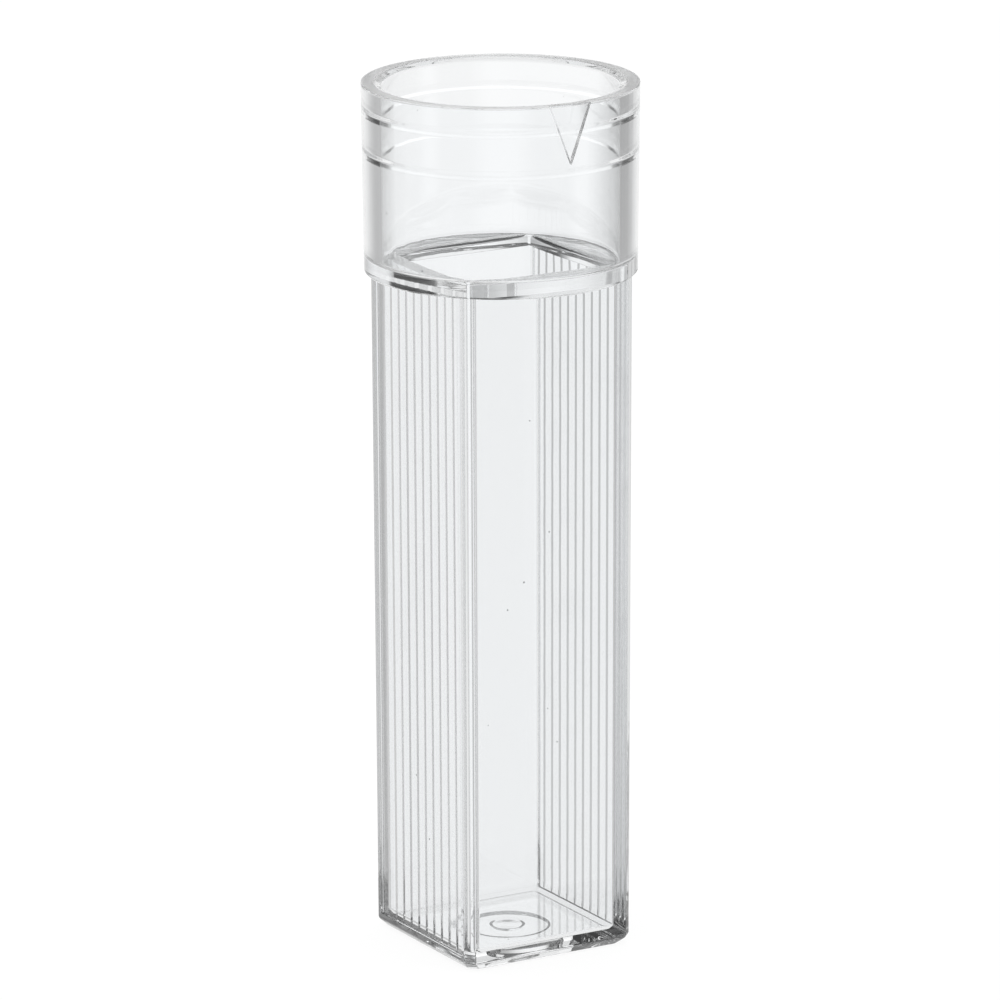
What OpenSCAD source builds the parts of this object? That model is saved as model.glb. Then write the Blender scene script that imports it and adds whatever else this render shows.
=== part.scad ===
// Clear square cuvette with a round collar, moulded as one piece. Millimetres, +Z up.
// The origin is the middle of the base. The clear windows face +Y and -Y,
// the grooved sides face +X and -X, and the alignment mark is on the -Y side of the collar.

/* [Sample cell] */
// Inside width at the floor between the clear sides, which is the light path
cell_w = 10.1; // [9:0.05:12]
// Outward slope of each inside face, in degrees
inner_draft = 0.1; // [0.02:0.01:0.2]
// Thickness of the floor
floor_t = 1; // [0.8:0.05:2]
// Flat cut along each upright inside corner
cell_corner_cut = 0.12; // [0.08:0.02:0.5]
// Bevel where the inside walls meet the floor
floor_bevel = 0.25; // [0.1:0.05:0.6]
// Radius of the rounded mouth of the cell
cell_mouth_r = 0.25; // [0.1:0.05:0.4]

/* [Square tube] */
// Thickness of the clear walls at the base
wall_t = 1.175; // [1:0.025:1.6]
// Thickness of the grooved walls at the base, beside the panel
side_wall_t = 1.065; // [0.9:0.005:1.2]
// Height from the base to the underside of the shelf
tube_h = 44.9; // [30:0.1:60]
// Outward slope of each outside face, in degrees
outer_draft = 0.16; // [0.06:0.02:0.3]
// Flat cut along each upright outside corner
corner_cut = 0.54; // [0.2:0.02:0.8]
// Bevel round the bottom edge
base_bevel = 0.55; // [0.2:0.05:0.8]

/* [Grooved panels] */
// Depth of the sunk panel on each grooved side
panel_d = 0.16; // [0.1:0.02:0.3]
// Border between the panel and the corners of the tube
panel_border = 0.36; // [0.1:0.02:0.5]
// Height of the panel's lower edge above the base
panel_foot = 0.95; // [0.85:0.05:3]
// Grooves on each panel
groove_count = 10; // [2:1:10]
// Spacing of the grooves
groove_pitch = 1; // [0.5:0.05:1.1]
// Width of one groove at the surface
groove_w = 0.24; // [0.1:0.02:0.3]
// Depth of one groove
groove_d = 0.18; // [0.06:0.02:0.24]

/* [Collar] */
// Height from the underside of the shelf to the rim
collar_h = 12.35; // [8:0.05:20]
// Thickness of the shelf
shelf_t = 0.9; // [0.8:0.05:2]
// Ledge of the shelf between the corners of the cell and the bore
bore_ledge = 0.404; // [0.38:0.002:0.8]
// Radius where the bore meets the shelf
bore_foot_r = 0.32; // [0.1:0.02:0.36]
// Thickness of the collar's wall at the shelf
collar_wall = 1.17; // [1:0.01:1.6]
// Least ledge of the shelf past the outside corners of the tube
corner_ledge = 0.18; // [0.16:0.02:0.5]
// Bevel on the lower edge of the shelf
shelf_bevel = 0.12; // [0.04:0.02:0.14]
// Outward slope of the outside of the collar, in degrees
collar_draft = 0.63; // [0:0.03:1.2]
// Width of the bevel inside the rim
rim_bevel_w = 0.43; // [0.1:0.01:0.6]
// Depth of the bevel inside the rim
rim_bevel_h = 0.22; // [0.1:0.01:0.5]

/* [Stopper beads] */
// Depth of the upper bead below the rim
bead_depth = 1.8; // [1:0.1:2.5]
// Distance from the upper bead to the lower one
bead_gap = 2.7; // [1:0.1:4]
// Height of one bead
bead_h = 0.56; // [0.3:0.02:0.7]
// How far one bead stands out from the bore
bead_d = 0.07; // [0.03:0.01:0.15]

/* [Alignment mark] */
// Width of the triangle at the rim
mark_w = 2.95; // [1:0.05:5]
// Height of the triangle
mark_h = 3.86; // [1:0.02:6]
// Depth of the triangle's flat floor
mark_d = 0.4; // [0.2:0.02:0.6]

/* [Moulding gate] */
// Diameter of the dish under the base
dish_d = 5.5; // [4:0.1:8]
// Depth of the dish
dish_depth = 0.3; // [0.2:0.02:0.5]
// Diameter of the gate stub in the dish
gate_d = 2.3; // [1:0.1:3]
// Gap between the end of the gate stub and the table
gate_clearance = 0.1; // [0.04:0.02:0.16]

/* [Hidden] */
$fn = 96;
// Length by which a cutting shape passes the surface that it cuts
over = 0.5;
total_h = tube_h + collar_h;
shelf_top = tube_h + shelf_t;
base_w = cell_w + 2 * wall_t;
// Inside width at the floor between the grooved sides
cell_across = base_w - 2 * side_wall_t;
// Distance from the axis to the flat-cut corner of a rectangle
function corner_r(wide, narrow, cut) = norm([wide / 2, narrow / 2 - cut]);
cell_flare = 2 * (shelf_top - floor_t) * tan(inner_draft);
tube_top_w = base_w + 2 * tube_h * tan(outer_draft);
bore_r = corner_r(cell_across + cell_flare, cell_w + cell_flare, cell_corner_cut) + bore_ledge;
collar_base_r = max(bore_r + collar_wall, corner_r(tube_top_w, tube_top_w, corner_cut) + corner_ledge);
collar_rim_r = collar_base_r + collar_h * tan(collar_draft);
gate_h = dish_depth - gate_clearance;
// The tube runs up into the shelf by this much, so that the two are one solid
tube_root = shelf_t / 2;

// Long slab with the same profile on both sides, given as [half width, height] from the bottom up
module sloped_slab(profile) {
    last = len(profile) - 1;
    left = [for (i = [last:-1:0]) [-profile[i][0], profile[i][1]]];
    rotate([90, 0, 0])
        linear_extrude(height = 4 * profile[last][0], center = true)
            polygon(concat(profile, left));
}

// Four-sided prism with flat-cut corners: the profile is across X, and across Y it is narrower by the inset
module drafted_prism(profile, inset, cut) {
    function moved(by, scaled) = [for (p = profile) [(p[0] - by) * scaled, p[1]]];
    intersection() {
        sloped_slab(profile);
        rotate(90) sloped_slab(moved(inset, 1));
        rotate(45) sloped_slab(moved((inset + cut) / 2, sqrt(2)));
        rotate(-45) sloped_slab(moved((inset + cut) / 2, sqrt(2)));
    }
}

// Sunk panel with upright V grooves on the +X and -X sides, leaning with the draft
module grooved_panels() {
    panel_w = base_w - 2 * (corner_cut + panel_border);
    h = tube_h + shelf_t - panel_foot;
    for (side = [0, 180])
        rotate(side)
            translate([base_w / 2, 0, 0])
                rotate([0, outer_draft, 0])
                    translate([-panel_d, 0, panel_foot]) {
                        translate([0, -panel_w / 2, 0])
                            cube([panel_d + over, panel_w, h]);
                        for (i = [0:groove_count - 1])
                            translate([0, (i - (groove_count - 1) / 2) * groove_pitch, 0])
                                linear_extrude(height = h)
                                    polygon([[-groove_d, 0], [0, -groove_w / 2], [over / 2, -groove_w / 2],
                                             [over / 2, groove_w / 2], [0, groove_w / 2]]);
                    }
}

module square_tube() {
    slope = tan(outer_draft);
    h = tube_h + tube_root;
    difference() {
        drafted_prism([[base_w / 2 - base_bevel, 0], [base_w / 2 + base_bevel * slope, base_bevel],
                       [base_w / 2 + h * slope, h]], 0, corner_cut);
        grooved_panels();
    }
}

// Collar and shelf as one turned blank
module collar_blank() {
    rotate_extrude()
        polygon([[0, tube_h], [collar_base_r - shelf_bevel, tube_h], [collar_base_r, tube_h + shelf_bevel],
                 [collar_rim_r, total_h], [0, total_h]]);
}

// Sample cell with its rounded mouth, which stops at the foot of the bore
module sample_cell() {
    slope = tan(inner_draft);
    half = cell_across / 2;
    h = shelf_top - floor_t;
    neck = h - cell_mouth_r;
    half_neck = half + neck * slope;
    mouth = [for (a = [0:15:90]) [half_neck + cell_mouth_r * (1 - cos(a)), neck + cell_mouth_r * sin(a)]];
    translate([0, 0, floor_t])
        intersection() {
            drafted_prism(concat([[half - floor_bevel, 0], [half + floor_bevel * slope, floor_bevel]], mouth,
                                 [[half_neck + cell_mouth_r, h + over]]),
                          (cell_across - cell_w) / 2, cell_corner_cut);
            cylinder(h = h + over, r = bore_r - bore_foot_r);
        }
}

// Bore for the stopper, with its rounded foot, its bevelled mouth and its two beads
module stopper_bore() {
    mouth_r = bore_r + rim_bevel_w * (1 + over / rim_bevel_h);
    f = bore_foot_r;
    foot = [for (a = [0:15:90]) [bore_r - f * (1 - sin(a)), shelf_top + f * (1 - cos(a))]];
    difference() {
        rotate_extrude()
            polygon(concat([[0, shelf_top]], foot, [[bore_r, total_h - rim_bevel_h],
                                                    [mouth_r, total_h + over], [0, total_h + over]]));
        stopper_beads();
    }
}

// Two low round beads in the bore, which snap into the stopper
module stopper_beads() {
    bead_r = (bead_h * bead_h / 4 + bead_d * bead_d) / (2 * bead_d);
    for (depth = [bead_depth, bead_depth + bead_gap])
        translate([0, 0, total_h - depth])
            rotate_extrude()
                translate([bore_r - bead_d + bead_r, 0]) circle(r = bead_r);
}

// Triangle cut into the outside of the collar, point down, open at the rim
module alignment_mark() {
    top_w = mark_w * (1 + over / mark_h);
    translate([0, mark_d - collar_rim_r, total_h])
        rotate([90, 0, 0])
            linear_extrude(height = mark_d + over)
                polygon([[0, -mark_h], [top_w / 2, over], [-top_w / 2, over]]);
}

// Dish under the base that keeps the stub of the moulding gate clear of the table
module gate_dish() {
    difference() {
        translate([0, 0, -over])
            cylinder(h = dish_depth + over, d = dish_d);
        translate([0, 0, gate_clearance])
            cylinder(h = gate_h + over, d1 = gate_d - gate_h, d2 = gate_d + 2 * over);
    }
}

module cuvette() {
    color([0.92, 0.95, 0.96, 0.4])
        difference() {
            union() {
                square_tube();
                collar_blank();
            }
            sample_cell();
            stopper_bore();
            alignment_mark();
            gate_dish();
        }
}

cuvette();
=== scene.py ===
import math

import bmesh
import bpy
from mathutils import Matrix, Vector


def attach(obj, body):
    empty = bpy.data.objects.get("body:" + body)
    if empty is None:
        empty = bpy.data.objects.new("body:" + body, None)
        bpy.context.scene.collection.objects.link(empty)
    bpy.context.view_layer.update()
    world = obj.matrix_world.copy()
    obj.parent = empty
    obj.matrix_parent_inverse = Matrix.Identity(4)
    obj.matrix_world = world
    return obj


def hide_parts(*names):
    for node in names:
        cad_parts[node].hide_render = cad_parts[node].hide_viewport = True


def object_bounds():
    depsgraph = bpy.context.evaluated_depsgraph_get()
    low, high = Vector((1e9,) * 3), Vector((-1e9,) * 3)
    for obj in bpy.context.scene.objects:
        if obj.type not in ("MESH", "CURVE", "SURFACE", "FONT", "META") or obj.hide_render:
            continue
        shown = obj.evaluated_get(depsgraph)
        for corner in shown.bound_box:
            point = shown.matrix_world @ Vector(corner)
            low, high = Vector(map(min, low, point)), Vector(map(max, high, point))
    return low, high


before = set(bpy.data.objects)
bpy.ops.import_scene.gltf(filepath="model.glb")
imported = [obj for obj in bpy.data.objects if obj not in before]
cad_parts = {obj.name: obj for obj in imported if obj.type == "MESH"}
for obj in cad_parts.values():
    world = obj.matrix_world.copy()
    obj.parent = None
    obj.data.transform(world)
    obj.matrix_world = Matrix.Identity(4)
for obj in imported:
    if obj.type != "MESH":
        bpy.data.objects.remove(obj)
cad_box = [list(corner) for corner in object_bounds()]

# Sizes of the moulding, in millimetres
MM = 0.001
TOTAL_H = cad_box[1][2] / MM
RIM_R = cad_box[1][0] / MM
CELL_ACROSS = 10.32
CELL_W = 10.1
CELL_DRAFT = math.radians(0.1)
CELL_CORNER_CUT = 0.12
CELL_MOUTH_R = 0.25
FLOOR_T = 1.0
FLOOR_BEVEL = 0.25
BASE_W = 12.45
TUBE_H = 44.9
TUBE_DRAFT = math.radians(0.16)
CORNER_CUT = 0.54
BASE_BEVEL = 0.55
PANEL_D = 0.16
PANEL_BORDER = 0.36
PANEL_FOOT = 0.95
PANEL_LIP_LEAN = 0.0001
GROOVE_COUNT = 10
GROOVE_PITCH = 1.0
GROOVE_W = 0.24
GROOVE_D = 0.18
RUN_OUT_FOOT = PANEL_FOOT + 0.1
RUN_OUT_H = 0.5
SHELF_T = 0.9
SHELF_BEVEL = 0.12
COLLAR_DRAFT = math.radians(0.63)
BORE_R = 7.65
BORE_FOOT_R = 0.32
RIM_BEVEL_W = 0.43
RIM_BEVEL_H = 0.22
BEAD_DEPTHS = (1.8, 4.5)
BEAD_H = 0.6
BEAD_D = 0.06
MARK_W = 2.95
MARK_H = 3.86
MARK_D = 0.4
DISH_R = 2.75
DISH_DEPTH = 0.3
DISH_LEAN = 0.05
GATE_R = 1.15
GATE_CLEARANCE = 0.1
# Slightly hollow end of the gate stub: radius, and rise above its edge
GATE_END = ((0.05, 0.03), (0.5, 0.02))

SHELF_TOP = TUBE_H + SHELF_T
COLLAR_BASE_R = RIM_R - (TOTAL_H - TUBE_H) * math.tan(COLLAR_DRAFT)
PANEL_HALF = BASE_W / 2 - CORNER_CUT - PANEL_BORDER

# Softened edges, in millimetres, each list in the order of the path that it belongs to
CORNER_ROUND = 0.06
CELL_CORNER_ROUND = 0.4 * CELL_CORNER_CUT
UNDERSIDE_ROUNDS = (0.1, 0.04, 0.04, 0.06, 0.04)
BASE_ROUNDS = (0.12, 0.15)
NECK_ROUND = 0.02
COLLAR_ROUNDS = (0.02, 0.03, 0.05, 0.11, 0.11)
CELL_FLOOR_ROUND = 0.1

# Softened tips of the V shapes, in millimetres, and how far their lips are softened, from 0 for sharp
GROOVE_TIP = 0.012
GROOVE_LIP = 0.004
BEAD_TIP = 0.05
BEAD_LIP = 0.01

# Fineness of the mesh
ARC_STEPS = 6
BEAD_STEPS = 24
BEAD_REACH = 0.7
SUPPORT = 0.02
STATION_GAP = 0.3
WIDE_ROUND = 0.1
FLAT_MARGIN = 0.4
DISH_MARGIN = 0.3
BORE_MARGIN = 0.3
NECK_MARGIN = 0.05
SHELF_MARGIN = 0.03
FLAT_AT_BASE = BASE_W / 2 - CORNER_CUT - CORNER_ROUND - SUPPORT
SHARP_ANGLE = math.radians(32)
# Places in half a groove, as shares of half its width
GROOVE_SHARES = (0.3, 0.65, 0.9, 1.1, 1.5)

# Softened step into a panel: distance from its edge, and share of its depth
PANEL_STEP = ((0.03, 0.0), (0.004, 0.05), (-0.046, 0.95), (-0.072, 1.0))
PANEL_END = PANEL_HALF + PANEL_STEP[0][0]


def soft_v(offset, width, depth, tip, lip):
    """Depth of a V shape at a distance from its middle, with its tip and its lips softened."""
    v_shape = 1 - 2 * math.sqrt(offset * offset + tip * tip) / width
    return depth * 0.5 * (v_shape + math.sqrt(v_shape * v_shape + lip))


def filled(knots):
    """Places between two ends of a side, with more of them added where they are far apart."""
    knots = [(-FLAT_AT_BASE, 0.0)] + knots + [(FLAT_AT_BASE, 0.0)]
    stations = []
    for (low, depth_low), (high, depth_high) in zip(knots, knots[1:]):
        steps = max(1, math.ceil((high - low) / STATION_GAP))
        stations += [(low + (high - low) * i / steps, depth_low + (depth_high - depth_low) * i / steps)
                     for i in range(steps)]
    return stations[1:]


def grooved_stations():
    """Places along a grooved side, each with its depth below the border."""
    near = [0.0, GROOVE_TIP] + [share * GROOVE_W / 2 for share in GROOVE_SHARES]
    offsets = sorted({-u for u in near} | set(near))
    groove = [(u, PANEL_D + soft_v(u, GROOVE_W, GROOVE_D, GROOVE_TIP, GROOVE_LIP)) for u in offsets]
    middles = [(i - (GROOVE_COUNT - 1) / 2) * GROOVE_PITCH for i in range(GROOVE_COUNT)]
    knots = [(-PANEL_HALF - step, PANEL_D * share) for step, share in PANEL_STEP]
    knots += [(middle + u, depth) for middle in middles for u, depth in groove]
    knots += [(PANEL_HALF + step, PANEL_D * share) for step, share in reversed(PANEL_STEP)]
    return filled(knots)


SIDES = [grooved_stations(), filled([])] * 2


def bent(start, bend, stop, steps):
    """Points along a smooth curve from start to stop, drawn towards the bend between them."""
    shares = [i / steps for i in range(steps + 1)]
    return [(1 - t) ** 2 * start + 2 * t * (1 - t) * bend + t * t * stop for t in shares]


def corner_points(half, other, cut, blend):
    """Flat-cut corner between one side and the next, with both of its edges softened."""
    edge_a = Vector((half, other - cut))
    edge_b = Vector((half - cut, other))
    along = (edge_b - edge_a).normalized()
    points = [edge_a - Vector((0, blend + SUPPORT))]
    points += bent(edge_a - Vector((0, blend)), edge_a, edge_a + along * blend, ARC_STEPS)
    points.append((edge_a + edge_b) / 2)
    points += bent(edge_b - along * blend, edge_b, edge_b - Vector((blend, 0)), ARC_STEPS)
    points.append(edge_b - Vector((blend + SUPPORT, 0)))
    return points


def four_sided_ring(half_x, half_y, cut, blend, sunk=None, grooved=0.0):
    """One turn round a four-sided section, in the order +X side, corner, +Y side and so on.
    On the outside of the tube, sunk and grooved are shares of the full depth of panels and grooves."""
    ring = []
    for side, stations in enumerate(SIDES):
        half, other = (half_x, half_y) if side % 2 == 0 else (half_y, half_x)
        flat = other - cut - blend - SUPPORT
        turn = Matrix.Rotation(math.pi / 2 * side, 2)
        for place, depth in stations:
            if sunk is None or flat < FLAT_AT_BASE:
                along = place * flat / FLAT_AT_BASE
            elif abs(place) <= PANEL_END:
                along = place
            else:
                share = (abs(place) - PANEL_END) / (FLAT_AT_BASE - PANEL_END)
                along = math.copysign(PANEL_END + share * (flat - PANEL_END), place)
            inward = min(depth, PANEL_D) * (sunk or 0) + max(depth - PANEL_D, 0) * grooved
            ring.append(turn @ Vector((half - inward, along)))
        ring += [turn @ point for point in corner_points(half, other, cut, blend)]
    return ring


def tube_ring(half, sunk, grooved=0.0):
    return four_sided_ring(half, half, CORNER_CUT, CORNER_ROUND, sunk, grooved)


def cell_ring(outward, reach):
    """Turn round the cell, with its walls moved outward and its corners kept within reach of the axis."""
    half_x = CELL_ACROSS / 2 + outward
    half_y = CELL_W / 2 + outward
    ring = four_sided_ring(half_x, half_y, CELL_CORNER_CUT, CELL_CORNER_ROUND)
    return [point * min(1, reach / point.length) for point in ring]


ANGLES = [math.atan2(point.y, point.x) for point in tube_ring(BASE_W / 2, 0)]


def circle_rings(profile):
    """Round turns through a profile of (radius, height)."""
    return [([Vector((r * math.cos(a), r * math.sin(a))) for a in ANGLES], z) for r, z in profile]


def softened(path, rounds):
    """Points along a path of (offset, height), with each inner bend rounded over the length given for it."""
    points = [Vector(path[0])]
    for before, bend, after, length in zip(path, path[1:], path[2:], rounds):
        bend = Vector(bend)
        back = (Vector(before) - bend).normalized()
        ahead = (Vector(after) - bend).normalized()
        start = bend + back * length
        stop = bend + ahead * length
        points.append(start + back * SUPPORT)
        points += bent(start, bend, stop, ARC_STEPS if length > WIDE_ROUND else ARC_STEPS // 2)
        points.append(stop + ahead * SUPPORT)
    points.append(Vector(path[-1]))
    return points


def arc(centre, radius, start, stop):
    """Points along a round edge, from one angle to another in degrees."""
    steps = 2 * ARC_STEPS
    angles = [math.radians(start + (stop - start) * i / steps) for i in range(steps + 1)]
    return [Vector((centre[0] + radius * math.cos(a), centre[1] + radius * math.sin(a))) for a in angles]


def tube_half(z):
    return BASE_W / 2 + z * math.tan(TUBE_DRAFT)


def cell_outward(z):
    return (z - FLOOR_T) * math.tan(CELL_DRAFT)


def underside_rings():
    """From the end of the gate stub out across the dish."""
    end = [(r, GATE_CLEARANCE + rise) for r, rise in GATE_END]
    path = end + [(GATE_R - DISH_DEPTH / 2, GATE_CLEARANCE), (GATE_R, DISH_DEPTH), (DISH_R, DISH_DEPTH),
                  (DISH_R + DISH_LEAN, 0), (DISH_R + DISH_MARGIN, 0)]
    return circle_rings(softened(path, UNDERSIDE_ROUNDS))


def tube_rings():
    """From the base up the outside of the square tube, with its sunk panels, to the shelf."""
    foot = BASE_W / 2 - BASE_BEVEL
    bevel = softened([(foot - FLAT_MARGIN, 0), (foot, 0), (tube_half(BASE_BEVEL), BASE_BEVEL),
                      (tube_half(PANEL_FOOT) - PANEL_LIP_LEAN, PANEL_FOOT - PANEL_STEP[0][0])], BASE_ROUNDS)
    rings = [(tube_ring(half, 0), z) for half, z in bevel]
    rings += [(tube_ring(tube_half(PANEL_FOOT), share), PANEL_FOOT - step) for step, share in PANEL_STEP[1:]]
    for i in range(ARC_STEPS):
        z = RUN_OUT_FOOT + RUN_OUT_H * i / ARC_STEPS
        grooved = math.sin(math.pi / 2 * i / ARC_STEPS) ** 2
        rings.append((tube_ring(tube_half(z), 1, grooved), z))
    full = RUN_OUT_FOOT + RUN_OUT_H
    neck = tube_half(TUBE_H)
    top = softened([(tube_half(full), full), (neck, TUBE_H), (neck + NECK_MARGIN, TUBE_H)], (NECK_ROUND,))
    rings += [(tube_ring(half, 1, 1), z) for half, z in top]
    return rings


def stopper_bead(depth):
    """Profile of one low bead in the bore, from above its upper edge to below its lower edge."""
    offsets = [BEAD_REACH * BEAD_H * (1 - 2 * i / BEAD_STEPS) for i in range(BEAD_STEPS + 1)]
    return [Vector((BORE_R - soft_v(offset, BEAD_H, BEAD_D, BEAD_TIP, BEAD_LIP), TOTAL_H - depth + offset))
            for offset in offsets]


def collar_rings():
    """From under the shelf up the collar, over the rim, and down the bore to the shelf."""
    bore_top = TOTAL_H - RIM_BEVEL_H
    shelf_edge = COLLAR_BASE_R - SHELF_BEVEL
    profile = softened([(shelf_edge - SHELF_MARGIN, TUBE_H), (shelf_edge, TUBE_H),
                        (COLLAR_BASE_R, TUBE_H + SHELF_BEVEL), (RIM_R, TOTAL_H),
                        (BORE_R + RIM_BEVEL_W, TOTAL_H), (BORE_R, bore_top),
                        (BORE_R, bore_top - BORE_MARGIN)], COLLAR_ROUNDS)
    for depth in BEAD_DEPTHS:
        profile += stopper_bead(depth)
    foot_z = SHELF_TOP + BORE_FOOT_R
    profile.append(Vector((BORE_R, foot_z + SUPPORT)))
    profile += arc((BORE_R - BORE_FOOT_R, foot_z), BORE_FOOT_R, 0, -90)
    return circle_rings(profile)


def cell_rings():
    """From the shelf over the rounded mouth of the cell and down to its floor."""
    reach = BORE_R - BORE_FOOT_R - SUPPORT
    neck = SHELF_TOP - CELL_MOUTH_R
    wall_top = neck - SUPPORT
    wall_foot = FLOOR_T + FLOOR_BEVEL
    mouth = arc((cell_outward(neck) + CELL_MOUTH_R, neck), CELL_MOUTH_R, 90, 180)
    floor = softened([(cell_outward(wall_top), wall_top), (cell_outward(wall_foot), wall_foot),
                      (-FLOOR_BEVEL, FLOOR_T), (-FLOOR_BEVEL - FLAT_MARGIN, FLOOR_T)],
                     (CELL_FLOOR_ROUND, CELL_FLOOR_ROUND))
    return [(cell_ring(outward, reach), z) for outward, z in mouth + floor]


def moulding_mesh(name):
    """Closed skin through all the turns, from the middle of the underside to the middle of the floor."""
    bm = bmesh.new()
    rings = underside_rings() + tube_rings() + collar_rings() + cell_rings()
    rows = [[bm.verts.new((p.x * MM, p.y * MM, z * MM)) for p in ring] for ring, z in rings]
    count = len(ANGLES)
    for low, high in zip(rows, rows[1:]):
        for i in range(count):
            j = (i + 1) % count
            bm.faces.new((low[i], high[i], high[j], low[j]))
    for row in (rows[0], rows[-1]):
        middle = bm.verts.new((0, 0, row[0].co.z))
        for i in range(count):
            bm.faces.new((row[i], row[(i + 1) % count], middle))
    bmesh.ops.recalc_face_normals(bm, faces=bm.faces)
    mesh = bpy.data.meshes.new(name)
    bm.to_mesh(mesh)
    bm.free()
    return mesh


def mark_cutter():
    """Prism that cuts the alignment triangle into the collar."""
    over = 0.5
    top = MARK_W / 2 * (1 + over / MARK_H)
    outline = [(0, TOTAL_H - MARK_H), (top, TOTAL_H + over), (-top, TOTAL_H + over)]
    bm = bmesh.new()
    face = bm.faces.new([bm.verts.new((x * MM, (MARK_D - RIM_R) * MM, z * MM)) for x, z in outline])
    pulled = bmesh.ops.extrude_face_region(bm, geom=[face])["geom"]
    corners = [g for g in pulled if isinstance(g, bmesh.types.BMVert)]
    bmesh.ops.translate(bm, verts=corners, vec=(0, -(MARK_D + over) * MM, 0))
    bmesh.ops.recalc_face_normals(bm, faces=bm.faces)
    mesh = bpy.data.meshes.new("mark_cutter")
    bm.to_mesh(mesh)
    bm.free()
    return bpy.data.objects.new("mark_cutter", mesh)


# Parts of the surface that have a finish of their own
TOUCH = 0.003
PANEL_SIDE_MARGIN = 0.05
PANEL_FOOT_MARGIN = 0.08
PANEL_TOP_MARGIN = 0.02
PANEL_BACK_MARGIN = 0.01
RIM_MARGIN = 0.001


def in_mark(point):
    """Whether a point of the surface is on the floor or the walls of the alignment triangle."""
    above = point.z - (TOTAL_H - MARK_H)
    outside = RIM_R - (TOTAL_H - point.z) * math.tan(COLLAR_DRAFT)
    return (above > 0 and abs(point.x) < MARK_W / 2 * above / MARK_H + TOUCH
            and point.y < MARK_D - RIM_R + TOUCH and math.hypot(point.x, point.y) < outside - 2 * TOUCH)


def on_panel(point):
    """Whether a point of the surface is on a sunk panel or in one of its grooves."""
    deepest = BASE_W / 2 - PANEL_D - GROOVE_D
    return (abs(point.x) > deepest - PANEL_BACK_MARGIN and abs(point.y) < PANEL_HALF - PANEL_SIDE_MARGIN
            and PANEL_FOOT + PANEL_FOOT_MARGIN < point.z < TUBE_H - PANEL_TOP_MARGIN)


def on_rim(point):
    """Whether a point of the surface is on the flat top of the rim."""
    return point.z > TOTAL_H - RIM_MARGIN


class Graph:
    """Short way to write down a node tree."""

    def __init__(self, tree):
        self.tree = tree

    def node(self, kind, *values, **settings):
        """New node: values go to its inputs in order, and settings to its properties or inputs by name."""
        made = self.tree.nodes.new(kind)
        named = {name: value for name, value in settings.items() if name in made.inputs}
        for name, setting in settings.items():
            if name not in named:
                setattr(made, name, setting)
        sockets = list(zip(made.inputs, values))
        sockets += [(made.inputs[name], value) for name, value in named.items()]
        for socket, value in sockets:
            if isinstance(value, bpy.types.NodeSocket):
                self.tree.links.new(value, socket)
            elif value is not None:
                socket.default_value = value
        return made

    def math(self, operation, *values):
        return self.node("ShaderNodeMath", *values, operation=operation).outputs[0]

    def noise(self, place, scale, detail):
        return self.node("ShaderNodeTexNoise", Vector=place, Scale=scale, Detail=detail).outputs[0]

    def along(self, vector, axis):
        return self.node("ShaderNodeVectorMath", vector, axis, operation="DOT_PRODUCT").outputs["Value"]

    def ramp(self, value, low, high, at_low, at_high):
        """Smooth change from one result to another, as a value goes from low to high."""
        return self.node("ShaderNodeMapRange", value, low, high, at_low, at_high,
                         interpolation_type="SMOOTHSTEP").outputs[0]

    def mix(self, share, without, full):
        """Number that goes from one to the other as the share goes from 0 to 1."""
        return self.node("ShaderNodeMix", share, None, without, full).outputs[0]


# Finish of the plastic
IOR = 1.59
CLEAR = (0.984, 0.993, 0.999, 1)
DUST = (0.05, 0.06, 0.06, 1)
HAZE_SIZE = 2.5 * MM
HAZE_RANGE = (0.5, 0.72)
SPECK_SPACING = 3.2 * MM
SPECK_EDGE = (0.016, 0.024)
# Places of the colours among the sockets of a Mix node
COLOUR_A = 6
COLOUR_B = 7
COLOUR_OUT = 2


def moulded_plastic(name, smooth, hazy, wave_size, wave_height):
    """Clear plastic, from smooth to hazy in patches, with a few specks.
    The waves of the moulding have a size and a height in millimetres."""
    material = bpy.data.materials.new(name)
    material.use_nodes = True
    tree = material.node_tree
    graph = Graph(tree)
    shader = tree.nodes["Principled BSDF"]
    shader.inputs["IOR"].default_value = IOR
    shader.inputs["Transmission Weight"].default_value = 1
    place = graph.node("ShaderNodeTexCoord").outputs["Object"]
    haze = graph.noise(place, 1 / HAZE_SIZE, 5.0)
    roughness = graph.ramp(haze, *HAZE_RANGE, smooth, hazy)
    tree.links.new(roughness, shader.inputs["Roughness"])
    waves = graph.noise(place, 1 / (wave_size * MM), 2.0)
    bump = graph.node("ShaderNodeBump", Strength=1.0, Distance=wave_height * MM, Height=waves)
    tree.links.new(bump.outputs[0], shader.inputs["Normal"])
    specks = graph.node("ShaderNodeTexVoronoi", Vector=place, Scale=1 / SPECK_SPACING).outputs["Distance"]
    colour = graph.node("ShaderNodeMix", graph.ramp(specks, *SPECK_EDGE, 0.0, 1.0), data_type="RGBA")
    colour.inputs[COLOUR_A].default_value = DUST
    colour.inputs[COLOUR_B].default_value = CLEAR
    tree.links.new(colour.outputs[COLOUR_OUT], shader.inputs["Base Color"])
    return material


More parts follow.
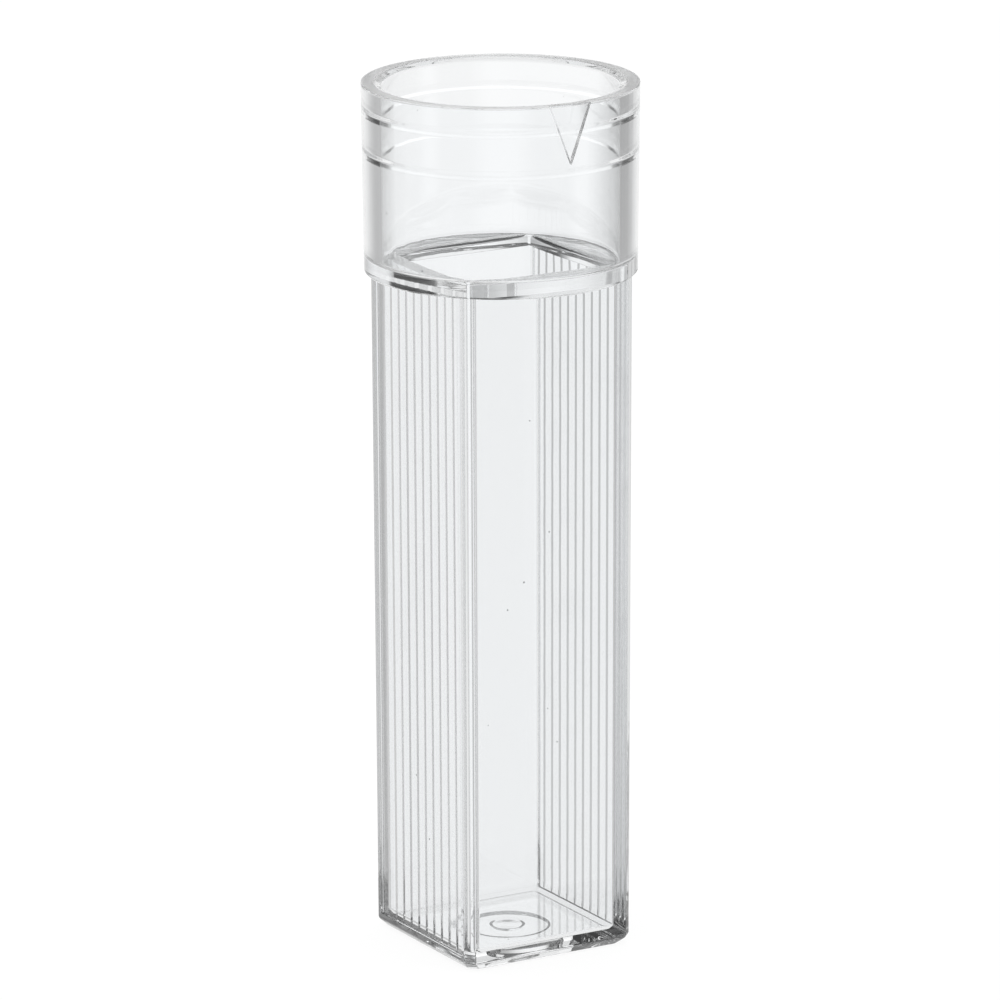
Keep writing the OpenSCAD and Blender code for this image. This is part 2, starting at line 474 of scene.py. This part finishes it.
def build_cuvette():
    blank = bpy.data.objects.new("cuvette_blank", moulding_mesh("cuvette_blank"))
    cutter = mark_cutter()
    for piece in (blank, cutter):
        bpy.context.scene.collection.objects.link(piece)
    cut = blank.modifiers.new("mark", "BOOLEAN")
    cut.operation = "DIFFERENCE"
    cut.solver = "EXACT"
    cut.object = cutter
    graph = bpy.context.evaluated_depsgraph_get()
    mesh = bpy.data.meshes.new_from_object(blank.evaluated_get(graph))
    mesh.name = "clear_cuvette"
    for piece in (blank, cutter):
        bpy.data.objects.remove(piece)
    mesh.materials.clear()
    finishes = (
        moulded_plastic("clear_plastic", smooth=0.0, hazy=0.02, wave_size=3, wave_height=0.004),
        moulded_plastic("frosted_plastic", smooth=0.1, hazy=0.15, wave_size=0.1, wave_height=0.001),
        moulded_plastic("panel_plastic", smooth=0.1, hazy=0.16, wave_size=0.4, wave_height=0.002),
        moulded_plastic("rim_plastic", smooth=0.28, hazy=0.34, wave_size=0.4, wave_height=0.002),
    )
    for material in finishes:
        mesh.materials.append(material)
    for face in mesh.polygons:
        face.use_smooth = True
        place = face.center / MM
        face.material_index = 1 if in_mark(place) else 2 if on_panel(place) else 3 if on_rim(place) else 0
    mesh.set_sharp_from_angle(angle=SHARP_ANGLE)
    cuvette = bpy.data.objects.new("clear_cuvette", mesh)
    bpy.context.scene.collection.objects.link(cuvette)
    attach(cuvette, "root")
    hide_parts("cuvette")


# Camera, placed as the photograph was taken
AZIMUTH = math.radians(-30.16)
ELEVATION = math.radians(14.68)
ROLL = math.radians(-0.188)
DISTANCE = 482.5
AIM_Z = 30.24
FOCAL_PX = 7437.7
IMAGE_PX = 1000
CENTRE_PX = (501.77, 489.35)
SENSOR = 36

# Directions across the floor as seen along the camera's axis
AHEAD = Vector((-math.sin(AZIMUTH), math.cos(AZIMUTH), 0))
RIGHT = Vector((math.cos(AZIMUTH), math.sin(AZIMUTH), 0))


def build_camera():
    data = bpy.data.cameras.new("camera")
    data.sensor_width = SENSOR
    data.lens = FOCAL_PX / IMAGE_PX * SENSOR
    data.shift_x = 0.5 - CENTRE_PX[0] / IMAGE_PX
    data.shift_y = CENTRE_PX[1] / IMAGE_PX - 0.5
    data.clip_start = 0.01
    data.clip_end = 50
    camera = bpy.data.objects.new("camera", data)
    bpy.context.scene.collection.objects.link(camera)
    away = AHEAD * math.cos(ELEVATION) - Vector((0, 0, math.sin(ELEVATION)))
    aim = Vector((0, 0, AIM_Z * MM))
    turn = away.to_track_quat("-Z", "Y").to_matrix().to_4x4() @ Matrix.Rotation(ROLL, 4, "Z")
    camera.matrix_world = Matrix.Translation(aim - away * DISTANCE * MM) @ turn
    bpy.context.scene.camera = camera


# Levels of the studio, where 1 is white
TABLE_GLOW = 0.93
TABLE_CARD = 0.1
TABLE_BELOW = 0.92
WALL = 0.4
AHEAD_LIGHT = 0.58
LEFT_LIGHT = 0.1
FAR_LEFT_LIGHT = 0.42
RIGHT_LIGHT = 0.15
BEHIND_LIGHT = 0.5
SIDE_PANELS = 0.85
BACKDROP = 0.9
BACKDROP_FOOT = 0.35
RIGHT_ROOM = 0.2
DARK_ROOM = 0.03


def build_floor():
    """Plain white table that the object stands on."""
    size = 3.0
    mesh = bpy.data.meshes.new("floor")
    mesh.from_pydata([(x, y, 0) for x, y in ((-size, -size), (size, -size), (size, size), (-size, size))],
                     [], [(0, 1, 2, 3)])
    floor = bpy.data.objects.new("floor", mesh)
    bpy.context.scene.collection.objects.link(floor)
    floor.visible_transmission = False
    floor.visible_glossy = False
    material = bpy.data.materials.new("floor")
    material.use_nodes = True
    tree = material.node_tree
    tree.nodes.clear()
    graph = Graph(tree)
    glow = graph.node("ShaderNodeEmission", (1, 1, 1, 1), TABLE_GLOW)
    card = graph.node("ShaderNodeBsdfDiffuse", (TABLE_CARD, TABLE_CARD, TABLE_CARD, 1))
    both = graph.node("ShaderNodeAddShader", glow.outputs[0], card.outputs[0])
    graph.node("ShaderNodeOutputMaterial", both.outputs[0])
    mesh.materials.append(material)


def build_world():
    """Plain white for the camera. Through the plastic and in its gloss: white ahead and behind,
    grey walls with lighter patches to the sides, the table below and a dark room above."""
    world = bpy.data.worlds.new("studio")
    bpy.context.scene.world = world
    world.use_nodes = True
    tree = world.node_tree
    tree.nodes.clear()
    graph = Graph(tree)
    way = graph.node("ShaderNodeTexCoord").outputs["Generated"]
    turn = graph.math("ARCTAN2", graph.along(way, RIGHT), graph.along(way, AHEAD))
    aside = graph.math("ABSOLUTE", turn)
    rise = graph.math("ARCSINE", graph.along(way, (0, 0, 1)))

    def lobe(middle, full, end):
        """Patch of light: full up to one angle from its middle, and gone at another, in degrees."""
        away = graph.math("ABSOLUTE", graph.math("SUBTRACT", turn, math.radians(middle)))
        return graph.ramp(away, math.radians(full), math.radians(end), 1.0, 0.0)

    def between(value, start, stop):
        """Share from 0 to 1, as an angle goes from one number of degrees to another."""
        return graph.ramp(value, math.radians(start), math.radians(stop), 0.0, 1.0)

    right_wall = graph.math("MULTIPLY", lobe(42, 18, 36), between(rise, -9, -18))
    low = graph.math("MULTIPLY_ADD", lobe(-2, 8, 38), AHEAD_LIGHT, WALL)
    low = graph.math("MULTIPLY_ADD", lobe(-42, 4, 16), LEFT_LIGHT, low)
    low = graph.math("MULTIPLY_ADD", lobe(-74, 8, 22), FAR_LEFT_LIGHT, low)
    low = graph.math("MULTIPLY_ADD", right_wall, RIGHT_LIGHT, low)
    low = graph.math("MULTIPLY_ADD", between(aside, 145, 170), BEHIND_LIGHT, low)
    low = graph.mix(between(rise, -27, -37), low, TABLE_BELOW)
    panels = graph.math("ADD", between(turn, -62, -74), lobe(105, 6, 13))
    low = graph.mix(graph.math("MULTIPLY", panels, between(rise, -20, -15)), low, SIDE_PANELS)
    backdrop = graph.math("MULTIPLY_ADD", between(rise, 12, 6), BACKDROP_FOOT, BACKDROP)
    backdrop = graph.math("MULTIPLY", backdrop, between(rise, 34, 22))
    backdrop = graph.math("MULTIPLY", backdrop, between(aside, 23, 14))
    high = graph.math("MULTIPLY_ADD", between(turn, 25, 60), RIGHT_ROOM, backdrop)
    high = graph.math("ADD", high, DARK_ROOM)
    studio = graph.mix(between(rise, -8, 0), low, high)
    ray = graph.node("ShaderNodeLightPath").outputs
    in_plastic = graph.math("ADD", ray["Is Glossy Ray"], ray["Is Transmission Ray"])
    sky = graph.node("ShaderNodeBackground", (1, 1, 1, 1), graph.mix(in_plastic, 1.0, studio))
    graph.node("ShaderNodeOutputWorld", sky.outputs[0])


# Light that is caught in the walls needs many bounces to get out
BOUNCES = 128
scene = bpy.context.scene
scene.view_settings.view_transform = "Standard"
scene.cycles.max_bounces = BOUNCES
scene.cycles.glossy_bounces = BOUNCES
scene.cycles.transmission_bounces = BOUNCES
build_cuvette()
build_camera()
build_floor()
build_world()
